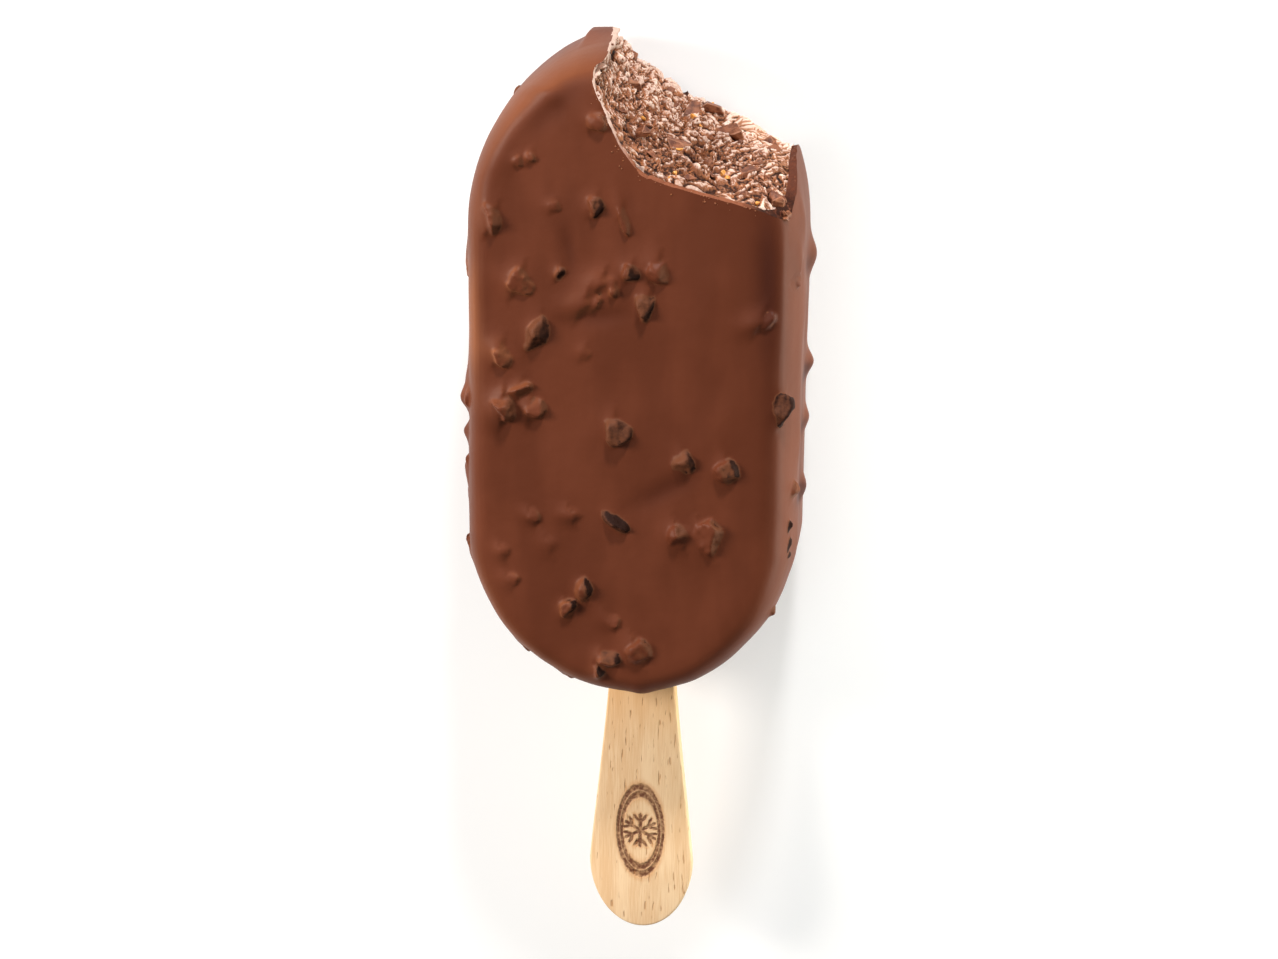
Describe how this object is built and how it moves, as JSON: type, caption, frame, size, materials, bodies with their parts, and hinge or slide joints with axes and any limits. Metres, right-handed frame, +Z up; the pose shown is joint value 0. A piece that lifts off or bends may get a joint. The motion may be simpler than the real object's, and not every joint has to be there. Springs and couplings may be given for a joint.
{
  "type": "ice cream bar",
  "caption": "Flat round-ended ice cream bar in a chocolate coating with chopped pieces under it, one corner bitten off, on a flat wooden paddle stick.",
  "frame": {"origin": "under the middle of the coated bar, on the plane that it lies on, in the middle of the flat spot of the piece under its back", "axes": "+X across the bar, +Y along it from the stick towards the bitten end, +Z up out of the front face"},
  "size_m": [0.0528, 0.1409, 0.029],
  "materials": {
    "milk_chocolate": "satin milk chocolate, smooth over the chopped pieces",
    "chocolate_ice_cream": "torn, crumbly and moist",
    "beech_wood": "pale, smooth, unvarnished, with short dark flecks"
  },
  "bodies": {
    "root": {"chocolate_coating": "milk_chocolate", "ice_cream": "chocolate_ice_cream", "stick": "beech_wood"}
  },
  "joints": []
}
